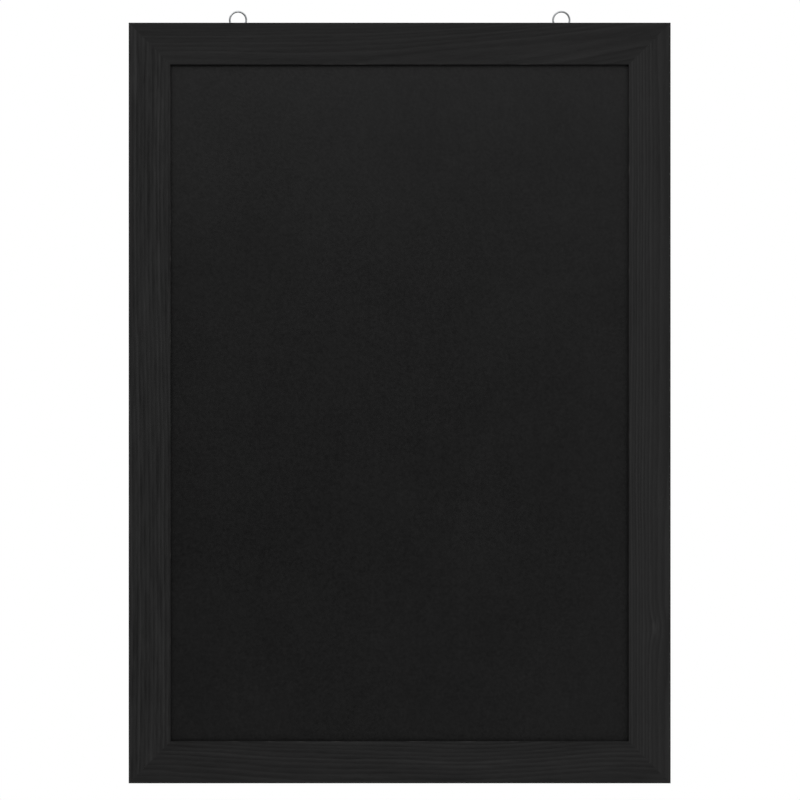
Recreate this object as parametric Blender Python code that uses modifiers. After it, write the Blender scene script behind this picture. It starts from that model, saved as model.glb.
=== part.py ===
"""Wall chalkboard: a black panel in a mitred pine frame that hangs from two wire rings.

Four rabbeted mouldings meet in mitres, and V-nails driven in from the back pull each corner
together. A hardboard panel with a blackboard coating lies in the rabbet behind a narrow lip,
and flat steel points pushed into the wood keep it there. On the back of the top rail, two
folded steel straps, each under one screw, carry a wire ring that swings in the strap's eye.

Metres, +Z up, +X to the right as seen from the front, and the writing side faces -Y. The
origin lies halfway between the two places where wall hooks bear inside the raised rings.
"""
import math

import bmesh
import bpy
from mathutils import Matrix, Vector

# Board and frame
BOARD_WIDTH = 0.570
BOARD_HEIGHT = 0.800
FRAME_THICKNESS = 0.015
MOULDING_WIDTH = 0.044
ARRIS_RADIUS = 0.001
LIP_THICKNESS = 0.005
RABBET_WIDTH = 0.008

# Writing panel
PANEL_THICKNESS = 0.003
PANEL_EDGE_GAP = 0.0005

# V-nails across the mitres, placed along the solid wood between the corner and the rabbet
V_NAIL_LEG = 0.0055
V_NAIL_STEEL = 0.0005
V_NAIL_HEIGHT = 0.010
V_NAIL_PLACE_SHARES = (0.27, 0.62)

# Steel points behind the panel, placed along each moulding from its middle
POINT_WIDTH = 0.006
POINT_STEEL = 0.0005
POINT_DRIVEN_LENGTH = 0.007
POINT_FREE_LENGTH = 0.007
POINT_TIP_LENGTH = 0.003
RAIL_POINT_SHARES = (-0.25, 0.25)
STILE_POINT_SHARES = (-0.35, 0.0, 0.35)

# Wire rings
HANGER_SPACING = 0.342
RING_RADIUS = 0.0087
WIRE_RADIUS = 0.001
RING_AXIS_BELOW_TOP = 0.003

# Folded straps that hold the rings
STRAP_WIDTH = 0.008
STRAP_STEEL = 0.0008
STRAP_LENGTH = 0.013
STRAP_LEAF_GAP = 0.0001
STRAP_BEND_RADIUS = 0.001
STRAP_CORNER_RADIUS = 0.0025

# Pan-head screws
SCREW_RADIUS = 0.0015
SCREW_LENGTH = 0.012
SCREW_TIP_LENGTH = 0.003
SCREW_HEAD_RADIUS = 0.0028
SCREW_HEAD_HEIGHT = 0.0018
SCREW_HEAD_SHOULDER = 0.0012
RECESS_SPAN = 0.0030
RECESS_WIDTH = 0.0008
RECESS_DEPTH = 0.0010

# Air between pieces that meet, and how far a cutter runs past what it cuts
FIT_GAP = 0.0003
MITRE_GAP = 0.0003
CUT_OVERRUN = 0.002
WELD_DISTANCE = 0.000001

# Facets of the round shapes
ARRIS_STEPS = 3
CORNER_STEPS = 6
EYE_STEPS = 22
BEND_STEPS = 4
RING_SEGMENTS = 48
WIRE_SEGMENTS = 12
SCREW_SEGMENTS = 24
SMOOTH_ANGLE = math.radians(35)
FLAT_ANGLE = math.radians(1)

# The wire is curved, so it needs more room in the straight eye than its own radius. The axis
# that it swings about lies where the inside and the outside of the ring come equally close.
RING_INNER_RADIUS = RING_RADIUS - WIRE_RADIUS
RING_OUTER_RADIUS = RING_RADIUS + WIRE_RADIUS
INNER_REACH = math.sqrt(RING_INNER_RADIUS**2 - (STRAP_WIDTH / 2) ** 2)
AXIS_TO_RING_CENTRE = (RING_OUTER_RADIUS + INNER_REACH) / 2
EYE_RADIUS = RING_OUTER_RADIUS - AXIS_TO_RING_CENTRE + FIT_GAP

# Places in the board's frame
AXIS_BEHIND_BACK = FIT_GAP + STRAP_STEEL + EYE_RADIUS
FRONT_Y = -AXIS_BEHIND_BACK - FRAME_THICKNESS
RING_AXIS_Z = -RING_INNER_RADIUS - AXIS_TO_RING_CENTRE
TOP_Z = RING_AXIS_Z + RING_AXIS_BELOW_TOP
MIDDLE_Z = TOP_Z - BOARD_HEIGHT / 2
SOLID_WIDTH = MOULDING_WIDTH - RABBET_WIDTH

# Turns that bring a flat outline into the plane where it is used
STAND_UP = Matrix.Rotation(math.pi / 2, 4, "X")
RUN_ALONG_X = Matrix.Rotation(math.tau / 3, 4, Vector((1, 1, 1)))
FACE_BACK = (-math.pi / 2, 0, 0)


def clear_scene():
    """Start from an empty file."""
    for item in list(bpy.data.objects):
        bpy.data.objects.remove(item)


def make_collection(name, parent):
    """A collection inside another."""
    collection = bpy.data.collections.new(name)
    parent.children.link(collection)
    return collection


def make_finish(name, colour, roughness, metallic=0.0):
    """A material of one linear colour."""
    finish = bpy.data.materials.new(name)
    finish.use_nodes = True
    finish.diffuse_color = (*colour, 1.0)
    shader = finish.node_tree.nodes["Principled BSDF"]
    shader.inputs["Base Color"].default_value = (*colour, 1.0)
    shader.inputs["Roughness"].default_value = roughness
    shader.inputs["Metallic"].default_value = metallic
    return finish


def place(item, collection, parent, location, rotation):
    """Put an object in its collection and in its place on what carries it."""
    collection.objects.link(item)
    item.parent = parent
    item.location = location
    item.rotation_euler = rotation
    return item


def add_piece(name, mesh, finish, parent=None, location=(0, 0, 0), rotation=(0, 0, 0)):
    """A sub-part of the board."""
    piece = bpy.data.objects.new(name, mesh)
    if not mesh.materials:
        mesh.materials.append(finish)
    return place(piece, BOARD, parent, location, rotation)


def add_cutter(name, mesh, collections, parent=None, location=(0, 0, 0), rotation=(0, 0, 0)):
    """A shape that only cuts or trims pieces, in the collection of each piece that it cuts."""
    cutter = bpy.data.objects.new(name, mesh)
    cutter.hide_render = True
    cutter.display_type = "WIRE"
    for shared in collections[1:]:
        shared.objects.link(cutter)
    return place(cutter, collections[0], parent, location, rotation)


def cut(piece, cutters):
    """Take everything in a collection of cutters out of a piece, in one go."""
    boolean = piece.modifiers.new(cutters.name, "BOOLEAN")
    boolean.operation = "DIFFERENCE"
    boolean.solver = "EXACT"
    boolean.operand_type = "COLLECTION"
    boolean.collection = cutters


def trim(piece, outline):
    """Keep only what lies inside another solid."""
    boolean = piece.modifiers.new(outline.name, "BOOLEAN")
    boolean.operation = "INTERSECT"
    boolean.solver = "EXACT"
    boolean.object = outline


def arc(centre, radius, start, end, steps):
    """Points of a round stretch, between two angles in degrees."""
    turns = [math.radians(start + (end - start) * step / steps) for step in range(steps + 1)]
    return [(centre[0] + radius * math.cos(a), centre[1] + radius * math.sin(a)) for a in turns]


def box_mesh(name, size_x, size_y, size_z):
    """A box about its centre."""
    shape = bmesh.new()
    bmesh.ops.create_cube(shape, size=1.0)
    bmesh.ops.scale(shape, vec=(size_x, size_y, size_z), verts=shape.verts)
    mesh = bpy.data.meshes.new(name)
    shape.to_mesh(mesh)
    shape.free()
    return mesh


def rod_mesh(name, radius, length):
    """A round rod along Y, about its centre."""
    shape = bmesh.new()
    bmesh.ops.create_cone(
        shape, cap_ends=True, segments=SCREW_SEGMENTS, radius1=radius, radius2=radius, depth=length
    )
    mesh = bpy.data.meshes.new(name)
    shape.to_mesh(mesh)
    shape.free()
    mesh.transform(STAND_UP)
    return mesh


def outline_mesh(name, outline, thickness, turn):
    """A flat outline, filled and thickened both ways, then turned into its plane. Each of its
    two flat sides is one face."""
    curve = bpy.data.curves.new(name + "_outline", "CURVE")
    curve.dimensions = "2D"
    curve.fill_mode = "BOTH"
    curve.extrude = thickness / 2
    spline = curve.splines.new("POLY")
    spline.points.add(len(outline) - 1)
    for point, (x, y) in zip(spline.points, outline):
        point.co = (x, y, 0, 1)
    spline.use_cyclic_u = True
    drawn = bpy.data.objects.new(name + "_outline", curve)
    bpy.context.scene.collection.objects.link(drawn)
    evaluated = drawn.evaluated_get(bpy.context.evaluated_depsgraph_get())
    mesh = bpy.data.meshes.new_from_object(evaluated)
    bpy.data.objects.remove(drawn)
    shape = bmesh.new()
    shape.from_mesh(mesh)
    bmesh.ops.remove_doubles(shape, verts=shape.verts, dist=WELD_DISTANCE)
    bmesh.ops.dissolve_limit(shape, angle_limit=FLAT_ANGLE, verts=shape.verts, edges=shape.edges)
    bmesh.ops.recalc_face_normals(shape, faces=shape.faces)
    shape.to_mesh(mesh)
    shape.free()
    mesh.name = name
    mesh.shade_flat()
    mesh.transform(turn)
    return mesh


def moulding_section():
    """The moulding's section: depth from the front face, height from the outer edge."""
    sight_edge = -MOULDING_WIDTH
    radius = ARRIS_RADIUS
    front_outer = arc((radius, -radius), radius, 90, 180, ARRIS_STEPS)
    front_inner = arc((radius, sight_edge + radius), radius, 180, 270, ARRIS_STEPS)
    rabbet = [
        (LIP_THICKNESS, sight_edge),
        (LIP_THICKNESS, -SOLID_WIDTH),
        (FRAME_THICKNESS, -SOLID_WIDTH),
    ]
    back_outer = arc((FRAME_THICKNESS - radius, -radius), radius, 0, 90, ARRIS_STEPS)
    return front_outer + front_inner + rabbet + back_outer


def add_mitre_saws(name, length, moulding, cuts):
    """Two blocks that take the ends off at 45 degrees, from the outer edge inwards."""
    mitre_length = MOULDING_WIDTH * math.sqrt(2)
    saw_mesh = box_mesh(
        name + "_mitre_saw",
        MOULDING_WIDTH,
        FRAME_THICKNESS + 2 * CUT_OVERRUN,
        mitre_length + 2 * CUT_OVERRUN,
    )
    for end in (-1, 1):
        corner = Vector((end * length / 2, FRAME_THICKNESS / 2, 0))
        along_mitre = Vector((-end, 0, -1)).normalized()
        outward = Vector((end, 0, -1)).normalized()
        centre = corner + along_mitre * mitre_length / 2 + outward * (MOULDING_WIDTH - MITRE_GAP) / 2
        turn = (0, end * math.pi / 4, 0)
        add_cutter(f"{name}_mitre_saw_{end}", saw_mesh, [cuts], moulding, centre, turn)


def make_moulding(name, length, location, turn):
    """One side of the frame, with its cuts: it runs along its own X, and its inner edge looks
    down its own -Z."""
    mesh = outline_mesh(name, moulding_section(), length, RUN_ALONG_X)
    moulding = add_piece(name, mesh, STAINED_PINE, None, location, (0, turn, 0))
    cuts = make_collection(name + "_cuts", CUTTERS)
    add_mitre_saws(name, length, moulding, cuts)
    cut(moulding, cuts)
    return moulding, cuts


def make_frame():
    """Two rails and two stiles, all from the same moulding."""
    half_width = BOARD_WIDTH / 2
    half_turn = math.pi
    quarter_turn = math.pi / 2
    bottom_z = TOP_Z - BOARD_HEIGHT
    return {
        "top": make_moulding("frame_top_rail", BOARD_WIDTH, (0, FRONT_Y, TOP_Z), 0),
        "bottom": make_moulding("frame_bottom_rail", BOARD_WIDTH, (0, FRONT_Y, bottom_z), half_turn),
        "left": make_moulding(
            "frame_left_stile", BOARD_HEIGHT, (-half_width, FRONT_Y, MIDDLE_Z), -quarter_turn
        ),
        "right": make_moulding(
            "frame_right_stile", BOARD_HEIGHT, (half_width, FRONT_Y, MIDDLE_Z), quarter_turn
        ),
    }


def make_panel():
    """The coated hardboard, a little smaller than the rabbet that it lies in."""
    border = 2 * (SOLID_WIDTH + PANEL_EDGE_GAP)
    mesh = box_mesh("writing_panel", BOARD_WIDTH - border, PANEL_THICKNESS, BOARD_HEIGHT - border)
    middle_y = FRONT_Y + LIP_THICKNESS + FIT_GAP + PANEL_THICKNESS / 2
    return add_piece("writing_panel", mesh, BLACKBOARD_COATING, None, (0, middle_y, MIDDLE_Z))


def v_nail_outline(grow):
    """Two legs at a right angle: one runs into the rail, the other into the stile."""
    half = V_NAIL_STEEL / 2 + grow
    leg = V_NAIL_LEG + grow
    return [(-half, half), (leg, half), (leg, -half), (half, -half), (half, -leg), (-half, -leg)]


def make_v_nails(frame):
    """Two V-nails across each mitre, flush with the back, each in the slot that it cut."""
    nail_mesh = outline_mesh("v_nail", v_nail_outline(0), V_NAIL_HEIGHT, STAND_UP)
    slot_depth = V_NAIL_HEIGHT + FIT_GAP + CUT_OVERRUN
    slot_mesh = outline_mesh("v_nail_slot", v_nail_outline(FIT_GAP), slot_depth, STAND_UP)
    nail_y = FRAME_THICKNESS - V_NAIL_HEIGHT / 2
    slot_y = FRAME_THICKNESS + CUT_OVERRUN - slot_depth / 2
    corners = (("top", "left", -1), ("top", "right", 1), ("bottom", "right", -1), ("bottom", "left", 1))
    for rail, stile, end in corners:
        turn = (0, math.pi / 2 if end > 0 else 0, 0)
        moulding, rail_cuts = frame[rail]
        stile_cuts = frame[stile][1]
        for number, share in enumerate(V_NAIL_PLACE_SHARES, 1):
            name = f"v_nail_{rail}_{stile}_{number}"
            reach = share * SOLID_WIDTH
            x = end * (BOARD_WIDTH / 2 - reach)
            add_piece(name, nail_mesh, BRIGHT_STEEL, moulding, (x, nail_y, -reach), turn)
            slot_place = (x, slot_y, -reach)
            add_cutter(name + "_slot", slot_mesh, [rail_cuts, stile_cuts], moulding, slot_place, turn)


def point_outline(grow):
    """A flat steel point: its tip is driven into the wood, its other end lies over the panel."""
    half = POINT_WIDTH / 2 + grow
    shoulder = POINT_DRIVEN_LENGTH - POINT_TIP_LENGTH + grow
    tip = POINT_DRIVEN_LENGTH + grow
    free_end = -POINT_FREE_LENGTH - grow
    return [(-half, free_end), (half, free_end), (half, shoulder), (0, tip), (-half, shoulder)]


def make_panel_points(frame):
    """Flat points along every side, each in its slot in the rabbet's wall behind the panel."""
    point_mesh = outline_mesh("panel_point", point_outline(0), POINT_STEEL, STAND_UP)
    slot_thickness = POINT_STEEL + 2 * FIT_GAP
    slot_mesh = outline_mesh("panel_point_slot", point_outline(FIT_GAP), slot_thickness, STAND_UP)
    point_y = LIP_THICKNESS + PANEL_THICKNESS + 2 * FIT_GAP + POINT_STEEL / 2
    for side, (moulding, cuts) in frame.items():
        upright = side in ("left", "right")
        shares = STILE_POINT_SHARES if upright else RAIL_POINT_SHARES
        length = BOARD_HEIGHT if upright else BOARD_WIDTH
        for number, share in enumerate(shares, 1):
            name = f"panel_point_{side}_{number}"
            location = (share * length, point_y, -SOLID_WIDTH)
            add_piece(name, point_mesh, BRIGHT_STEEL, moulding, location)
            add_cutter(name + "_slot", slot_mesh, [cuts], moulding, location)


def strap_path():
    """Side view of the folded strip about the ring's axis: up the leaf that lies on the wood,
    round the eye, and back through a bend to the outer leaf."""
    middle = EYE_RADIUS + STRAP_STEEL / 2
    outer_leaf = -middle + STRAP_STEEL + STRAP_LEAF_GAP
    lower_end = -STRAP_LENGTH - CUT_OVERRUN
    bend_y = outer_leaf + STRAP_BEND_RADIUS
    bend_z = -math.sqrt((middle + STRAP_BEND_RADIUS) ** 2 - bend_y**2)
    meeting = math.degrees(math.atan2(bend_z, bend_y))
    eye = arc((0, 0), middle, 180, meeting, EYE_STEPS)
    bend = arc((bend_y, bend_z), STRAP_BEND_RADIUS, meeting + 180, 180, BEND_STEPS)
    return [(-middle, lower_end)] + eye + bend[1:] + [(outer_leaf, lower_end)]


def strap_plan():
    """Front view of the strap, with round lower corners."""
    half = STRAP_WIDTH / 2
    radius = STRAP_CORNER_RADIUS
    top = EYE_RADIUS + STRAP_STEEL + CUT_OVERRUN
    left = arc((radius - half, radius - STRAP_LENGTH), radius, 180, 270, CORNER_STEPS)
    right = arc((half - radius, radius - STRAP_LENGTH), radius, 270, 360, CORNER_STEPS)
    return [(-half, top)] + left + right + [(half, top)]


def strip_mesh(name, path, width):
    """An open strip along a path in the YZ plane, as wide as given along X."""
    shape = bmesh.new()
    verts = [shape.verts.new((-width / 2, y, z)) for y, z in path]
    edges = [shape.edges.new(pair) for pair in zip(verts, verts[1:])]
    swept = bmesh.ops.extrude_edge_only(shape, edges=edges)
    moved = [item for item in swept["geom"] if isinstance(item, bmesh.types.BMVert)]
    bmesh.ops.translate(shape, vec=(width, 0, 0), verts=moved)
    mesh = bpy.data.meshes.new(name)
    shape.to_mesh(mesh)
    shape.free()
    mesh.shade_smooth()
    mesh.set_sharp_from_angle(angle=SMOOTH_ANGLE)
    return mesh


def make_strap(side, rail, axis_place, hole_cuts):
    """A strip folded round the ring's wire, blanked to its plan and drilled for the screw."""
    name = f"hanger_{side}_strap"
    mesh = strip_mesh(name, strap_path(), STRAP_WIDTH + CUT_OVERRUN)
    strap = add_piece(name, mesh, ZINC_PLATED_STEEL, rail, axis_place)
    thickness = strap.modifiers.new("strip_thickness", "SOLIDIFY")
    thickness.thickness = STRAP_STEEL
    thickness.offset = 0
    thickness.use_even_offset = True
    blank_depth = 2 * (EYE_RADIUS + STRAP_STEEL + CUT_OVERRUN)
    plan_mesh = outline_mesh(name + "_plan", strap_plan(), blank_depth, STAND_UP)
    trim(strap, add_cutter(name + "_plan", plan_mesh, [CUTTERS], rail, axis_place))
    cut(strap, hole_cuts)


def make_ring(side, rail, axis_place):
    """A closed wire ring, standing up from the axis that it swings about."""
    bpy.ops.mesh.primitive_torus_add(
        major_radius=RING_RADIUS,
        minor_radius=WIRE_RADIUS,
        major_segments=RING_SEGMENTS,
        minor_segments=WIRE_SEGMENTS,
    )
    drawn = bpy.context.object
    mesh = drawn.data
    bpy.data.objects.remove(drawn)
    mesh.transform(Matrix.Translation((0, 0, AXIS_TO_RING_CENTRE)) @ STAND_UP)
    mesh.shade_smooth()
    add_piece(f"hanger_{side}_ring", mesh, ZINC_PLATED_STEEL, rail, axis_place)


def screw_profile():
    """Half of the screw from the top of its head to its tip, with the head's seat at zero."""
    shoulder = (SCREW_HEAD_RADIUS - SCREW_HEAD_SHOULDER, SCREW_HEAD_HEIGHT - SCREW_HEAD_SHOULDER)
    head = arc(shoulder, SCREW_HEAD_SHOULDER, 90, 0, BEND_STEPS)
    shank = [
        (SCREW_HEAD_RADIUS, 0),
        (SCREW_RADIUS, 0),
        (SCREW_RADIUS, SCREW_TIP_LENGTH - SCREW_LENGTH),
        (0, -SCREW_LENGTH),
    ]
    return [(0, SCREW_HEAD_HEIGHT)] + head + shank


def make_screw(side, rail, seat):
    """A turned pan-head screw with a cross recess, its head on the strap and its tip in the rail."""
    name = f"hanger_{side}_screw"
    shape = bmesh.new()
    verts = [shape.verts.new((x, 0, z)) for x, z in screw_profile()]
    for pair in zip(verts, verts[1:]):
        shape.edges.new(pair)
    mesh = bpy.data.meshes.new(name)
    shape.to_mesh(mesh)
    shape.free()
    screw = add_piece(name, mesh, ZINC_PLATED_STEEL, rail, seat, FACE_BACK)
    turned = screw.modifiers.new("turned", "SCREW")
    turned.steps = SCREW_SEGMENTS
    turned.render_steps = SCREW_SEGMENTS
    turned.use_merge_vertices = True
    turned.merge_threshold = WELD_DISTANCE
    recess_centre = (seat[0], seat[1] + SCREW_HEAD_HEIGHT, seat[2])
    recess = make_collection(name + "_recess", CUTTERS)
    for number, arm in enumerate(((RECESS_SPAN, RECESS_WIDTH), (RECESS_WIDTH, RECESS_SPAN)), 1):
        arm_name = f"{name}_recess_{number}"
        arm_mesh = box_mesh(arm_name, arm[0], 2 * RECESS_DEPTH, arm[1])
        add_cutter(arm_name, arm_mesh, [recess], rail, recess_centre)
    cut(screw, recess)


def make_hangers(rail, rail_cuts):
    """A strap, a ring and a screw at each side, on the back of the top rail."""
    axis_y = FRAME_THICKNESS + AXIS_BEHIND_BACK
    strap_stack = 2 * STRAP_STEEL + STRAP_LEAF_GAP + FIT_GAP
    seat_y = FRAME_THICKNESS + strap_stack + FIT_GAP
    screw_z = -RING_AXIS_BELOW_TOP - AXIS_TO_RING_CENTRE
    bore_radius = SCREW_RADIUS + FIT_GAP
    bore_start = seat_y - SCREW_LENGTH - FIT_GAP
    bore_length = seat_y + CUT_OVERRUN - bore_start
    for side, sign in (("left", -1), ("right", 1)):
        x = sign * HANGER_SPACING / 2
        axis_place = (x, axis_y, -RING_AXIS_BELOW_TOP)
        bore_mesh = rod_mesh(f"screw_bore_{side}", bore_radius, bore_length)
        bore_place = (x, bore_start + bore_length / 2, screw_z)
        bore = make_collection(f"screw_bore_{side}", CUTTERS)
        add_cutter(f"screw_bore_{side}", bore_mesh, [bore, rail_cuts], rail, bore_place)
        make_strap(side, rail, axis_place, bore)
        make_ring(side, rail, axis_place)
        make_screw(side, rail, (x, seat_y, screw_z))


clear_scene()
BOARD = make_collection("wall_chalkboard", bpy.context.scene.collection)
CUTTERS = make_collection("cutters", bpy.context.scene.collection)
STAINED_PINE = make_finish("stained_pine", (0.018, 0.018, 0.018), 0.5)
BLACKBOARD_COATING = make_finish("blackboard_coating", (0.013, 0.013, 0.013), 0.75)
BRIGHT_STEEL = make_finish("bright_steel", (0.45, 0.45, 0.46), 0.35, 1.0)
ZINC_PLATED_STEEL = make_finish("zinc_plated_steel", (0.60, 0.61, 0.62), 0.28, 1.0)
FRAME = make_frame()
make_panel()
make_v_nails(FRAME)
make_panel_points(FRAME)
make_hangers(*FRAME["top"])
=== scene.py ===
# %% [markdown]
# # A wall chalkboard
# A black writing panel in a mitred pine frame hangs from two wire rings. The frame file holds the
# solids at their real size. This notebook dresses them: it models each piece again with the fine
# shape that a maker's tools leave, and gives every surface the finish of the real material.
#
# The first step loads the solids. Nothing here moves or resizes them, so each new piece can take
# its size and its place from the box of the solid that it stands for.

# %% Load the solids
import math

import bmesh
import bpy
from mathutils import Matrix, Vector, noise


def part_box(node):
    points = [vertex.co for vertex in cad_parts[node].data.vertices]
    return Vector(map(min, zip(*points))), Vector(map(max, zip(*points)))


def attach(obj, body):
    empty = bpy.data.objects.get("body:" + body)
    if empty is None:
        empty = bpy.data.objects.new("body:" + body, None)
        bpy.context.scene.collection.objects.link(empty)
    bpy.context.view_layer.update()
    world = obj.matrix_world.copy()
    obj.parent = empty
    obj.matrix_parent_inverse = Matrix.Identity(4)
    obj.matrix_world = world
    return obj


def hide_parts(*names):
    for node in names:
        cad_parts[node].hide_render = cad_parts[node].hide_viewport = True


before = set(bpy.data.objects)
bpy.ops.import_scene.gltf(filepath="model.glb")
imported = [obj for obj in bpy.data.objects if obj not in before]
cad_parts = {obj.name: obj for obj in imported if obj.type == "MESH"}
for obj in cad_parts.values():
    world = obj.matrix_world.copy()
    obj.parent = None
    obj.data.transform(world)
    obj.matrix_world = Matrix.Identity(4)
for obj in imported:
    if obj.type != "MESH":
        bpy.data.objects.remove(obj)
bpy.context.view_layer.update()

# %% [markdown]
# ## Measure the board
# Every length below is read from the boxes of the solids. If the board is made in another size,
# the dressing follows. X runs to the right, Z up, and the writing side looks towards -Y.

# %% Sizes read from the solids
rail_low, rail_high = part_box("frame_top_rail")
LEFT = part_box("frame_left_stile")[0].x
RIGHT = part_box("frame_right_stile")[1].x
TOP = rail_high.z
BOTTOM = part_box("frame_bottom_rail")[0].z
FRONT = rail_low.y
BACK = rail_high.y
MOULDING_WIDTH = TOP - rail_low.z
THICKNESS = BACK - FRONT
MIDDLE = Vector(((LEFT + RIGHT) / 2, (FRONT + BACK) / 2, (TOP + BOTTOM) / 2))
print(f"board {RIGHT - LEFT:.3f} x {TOP - BOTTOM:.3f} m, {THICKNESS:.3f} m thick")

# %% [markdown]
# ## Camera
# The photograph looks straight at the board from some metres away, so the frame's sides stay
# parallel. A long lens three metres off gives the same view. Its focal length follows from how
# many pixels one metre takes up at the front face, and the camera stands where the board's centre
# falls on the same pixel as in the photograph. The Standard view shows colours as they are, without
# the soft curve of film.

# %% Camera
PICTURE_SIDE_PX = 800
PX_PER_METRE = 951
BOARD_CENTRE_PX = (399.65, 403.0)
CAMERA_DISTANCE = 3.0
SENSOR_WIDTH_MM = 36

lens = bpy.data.cameras.new("camera")
camera = bpy.data.objects.new("camera", lens)
bpy.context.scene.collection.objects.link(camera)
bpy.context.scene.camera = camera
lens.sensor_width = SENSOR_WIDTH_MM
lens.lens = SENSOR_WIDTH_MM * PX_PER_METRE * CAMERA_DISTANCE / PICTURE_SIDE_PX
camera.location = (
    MIDDLE.x + (PICTURE_SIDE_PX / 2 - BOARD_CENTRE_PX[0]) / PX_PER_METRE,
    FRONT - CAMERA_DISTANCE,
    MIDDLE.z - (PICTURE_SIDE_PX / 2 - BOARD_CENTRE_PX[1]) / PX_PER_METRE,
)
camera.rotation_euler = (math.pi / 2, 0, 0)
bpy.context.scene.view_settings.view_transform = "Standard"
print(f"lens {lens.lens:.1f} mm at {CAMERA_DISTANCE} m")

# %% [markdown]
# ## Small helpers for every material
# Colours are easiest to judge as the hex codes that a picture editor shows, but a shader counts in
# linear light. One function turns the first into the second. The next adds a node, sets it up,
# wires it and hands back one of its outputs, so that a material reads as a list of steps. The last
# two shorten what comes back often: taking one range to another, and adding patterns to a level.

# %% Colour and node helpers
def linear(hex_code):
    """The linear colour of a hex code such as #1d1d1d."""
    channels = [int(hex_code[start:start + 2], 16) / 255 for start in (1, 3, 5)]
    decoded = [c / 12.92 if c <= 0.04045 else ((c + 0.055) / 1.055) ** 2.4 for c in channels]
    return (*decoded, 1.0)


def add_node(tree, kind, inputs=None, output=0, **settings):
    """Add a shader node and give one of its outputs. An input takes a value or a socket."""
    node = tree.nodes.new("ShaderNode" + kind)
    for name, value in settings.items():
        setattr(node, name, value)
    for name, value in (inputs or {}).items():
        if isinstance(value, bpy.types.NodeSocket):
            tree.links.new(value, node.inputs[name])
        else:
            node.inputs[name].default_value = value
    return node.outputs[output]


def span(source, target):
    """The inputs of a Map Range node that takes one range to another."""
    return {"From Min": source[0], "From Max": source[1], "To Min": target[0], "To Max": target[1]}


def add_up(tree, level, layers):
    """A level plus patterns, each with its own weight."""
    for layer, weight in layers:
        level = add_node(tree, "Math", {0: layer, 1: weight, 2: level}, operation="MULTIPLY_ADD")
    return level


print("linear grey of #252525:", round(linear("#252525")[0], 4))

# %% [markdown]
# ## Studio
# A black board shows whatever stands round it. This studio is white behind and above the board and
# dark behind the camera. So the satin wood stays black, and the steel rings are bright on top and
# dark at their sides. The world below has that plan twice. The first fade is the soft light that
# reaches every surface. The second is what a surface mirrors, white towards the backdrop. The
# camera itself sees plain white everywhere.

# %% World
# The way each light comes from, the facings over which it fades, and its two levels.
ROOM = {"way": (0.0, 1.0, 0.4), "facings": (-0.75, 0.35), "levels": (0.45, 0.85)}
BACKDROP = {"way": (0.0, 1.0, 1.6), "facings": (0.5, 0.9), "levels": (0.10, 1.0)}

world = bpy.data.worlds.new("studio")
bpy.context.scene.world = world
world.use_nodes = True
tree = world.node_tree
direction = add_node(tree, "TexCoord", output="Generated")
fades = []
for part in (ROOM, BACKDROP):
    facing = add_node(tree, "VectorMath", {0: direction, 1: part["way"]}, "Value", operation="DOT_PRODUCT")
    inputs = {"Value": facing} | span(part["facings"], part["levels"])
    fades.append(add_node(tree, "MapRange", inputs, interpolation_type="SMOOTHSTEP"))
ray = add_node(tree, "LightPath").node.outputs
lit = add_node(tree, "Mix", {0: ray["Is Glossy Ray"], 2: fades[0], 3: fades[1]})
plain_rays = {0: ray["Is Camera Ray"], 1: ray["Is Transmission Ray"]}
seen = add_node(tree, "Math", plain_rays, operation="MAXIMUM")
strength = add_node(tree, "Math", {0: lit, 1: seen}, operation="MAXIMUM")
light = tree.nodes["Background"]
light.inputs["Color"].default_value = (1.0, 1.0, 1.0, 1.0)
tree.links.new(strength, light.inputs["Strength"])
print("world:", world.name)

# %% [markdown]
# Three soft boxes do the rest. The key hangs high in front, a little to the left. It draws the
# dark line under the frame's inner edge, and its sheen fades down the panel. The fill stands at
# the right, level with the board, and a third box behind lights the back, the straps and the tops
# of the rings.

# %% Soft boxes
def add_soft_box(name, place, width, height, power):
    """A rectangular lamp that looks at the middle of the board."""
    data = bpy.data.lights.new(name, "AREA")
    data.shape = "RECTANGLE"
    data.size = width
    data.size_y = height
    data.energy = power
    lamp = bpy.data.objects.new(name, data)
    bpy.context.scene.collection.objects.link(lamp)
    lamp.location = MIDDLE + Vector(place)
    lamp.rotation_euler = (-Vector(place)).to_track_quat("-Z", "Y").to_euler()


add_soft_box("key", place=(-0.45, -1.6, 1.5), width=2.4, height=1.5, power=28)
add_soft_box("fill", place=(1.7, -1.6, 0.1), width=1.6, height=2.0, power=17)
add_soft_box("back", place=(-0.9, 2.2, 1.4), width=2.4, height=1.6, power=10)

# %% [markdown]
# The floor is the first thing with a shape. A bmesh is only a workbench, so one helper turns what
# was made on it into an object. The object stands at the origin with its place stored in its mesh,
# just as the solids do. It is smooth over its rounded edges and crisp at its corners.

# %% Make a piece
SHARP_ANGLE = math.radians(30)


def shade(mesh):
    """Smooth over rounded edges, crisp at corners."""
    mesh.shade_smooth()
    mesh.set_sharp_from_angle(angle=SHARP_ANGLE)


def make_piece(name, shape, materials, turn=0.0, place=(0, 0, 0)):
    """An object from a shape that is turned about Y and moved, all of it stored in the mesh."""
    bmesh.ops.rotate(shape, cent=(0, 0, 0), matrix=Matrix.Rotation(turn, 3, "Y"), verts=shape.verts)
    bmesh.ops.translate(shape, vec=place, verts=shape.verts)
    mesh = bpy.data.meshes.new(name)
    shape.to_mesh(mesh)
    shape.free()
    for material in materials:
        mesh.materials.append(material)
    shade(mesh)
    piece = bpy.data.objects.new(name, mesh)
    bpy.context.scene.collection.objects.link(piece)
    return piece


print("crisp from", round(math.degrees(SHARP_ANGLE)), "degrees")

# %% [markdown]
# The floor is a pale disc well below the hanging board. It catches the board's shadow in views
# from above. Its rim fades out, so no hard edge shows against the white.

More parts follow.
